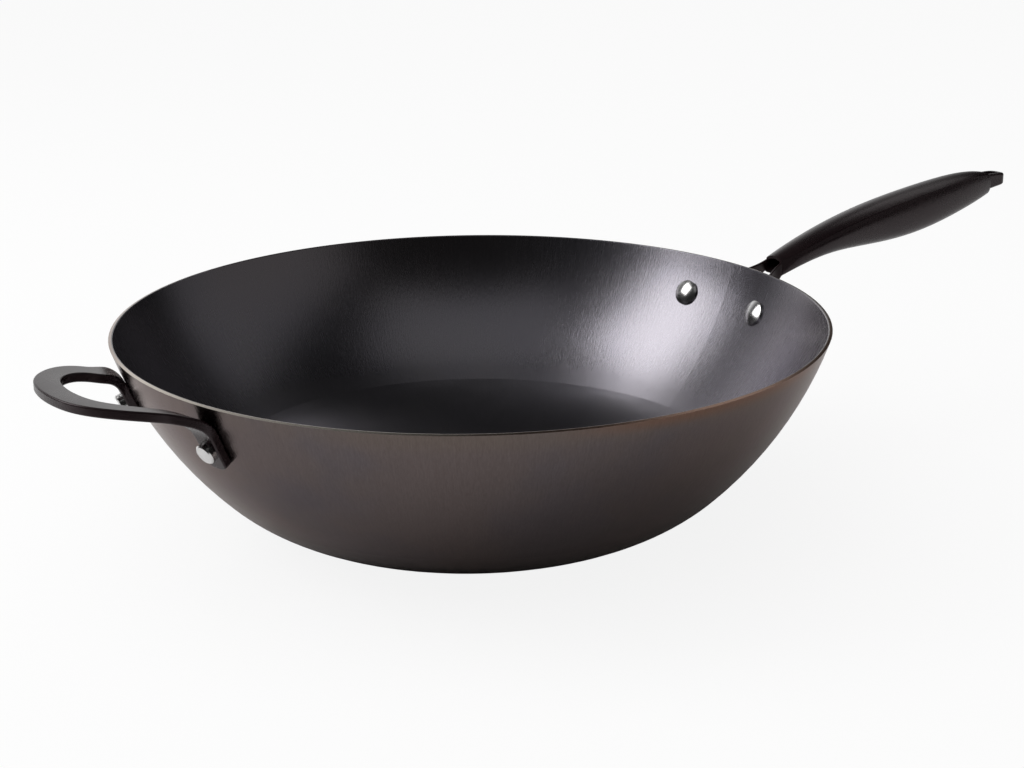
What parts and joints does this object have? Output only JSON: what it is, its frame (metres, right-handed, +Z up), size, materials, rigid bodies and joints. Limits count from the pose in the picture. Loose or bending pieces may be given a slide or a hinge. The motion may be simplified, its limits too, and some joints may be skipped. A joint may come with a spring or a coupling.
{
  "type": "wok",
  "caption": "Flat-bottomed carbon steel wok with a spun bowl, a long hollow steel handle and a short loop handle, both held by rivets.",
  "frame": {"origin": "centre of the flat underside of the bowl's base", "axes": "+Z up along the bowl's axis, +X along the long handle, the loop handle at -X; mirror-symmetric about the XZ plane"},
  "size_m": [0.6241, 0.36, 0.1305],
  "materials": {
    "bowl_steel": "satin, heat-darkened",
    "handle_steel": "satin black",
    "rivet_steel": "polished"
  },
  "bodies": {
    "root": {"bowl": "bowl_steel", "long_handle": "handle_steel", "loop_handle": "handle_steel", "long_handle_rivet_front": "rivet_steel", "long_handle_rivet_back": "rivet_steel", "loop_handle_rivet_front": "rivet_steel", "loop_handle_rivet_back": "rivet_steel"}
  },
  "joints": []
}
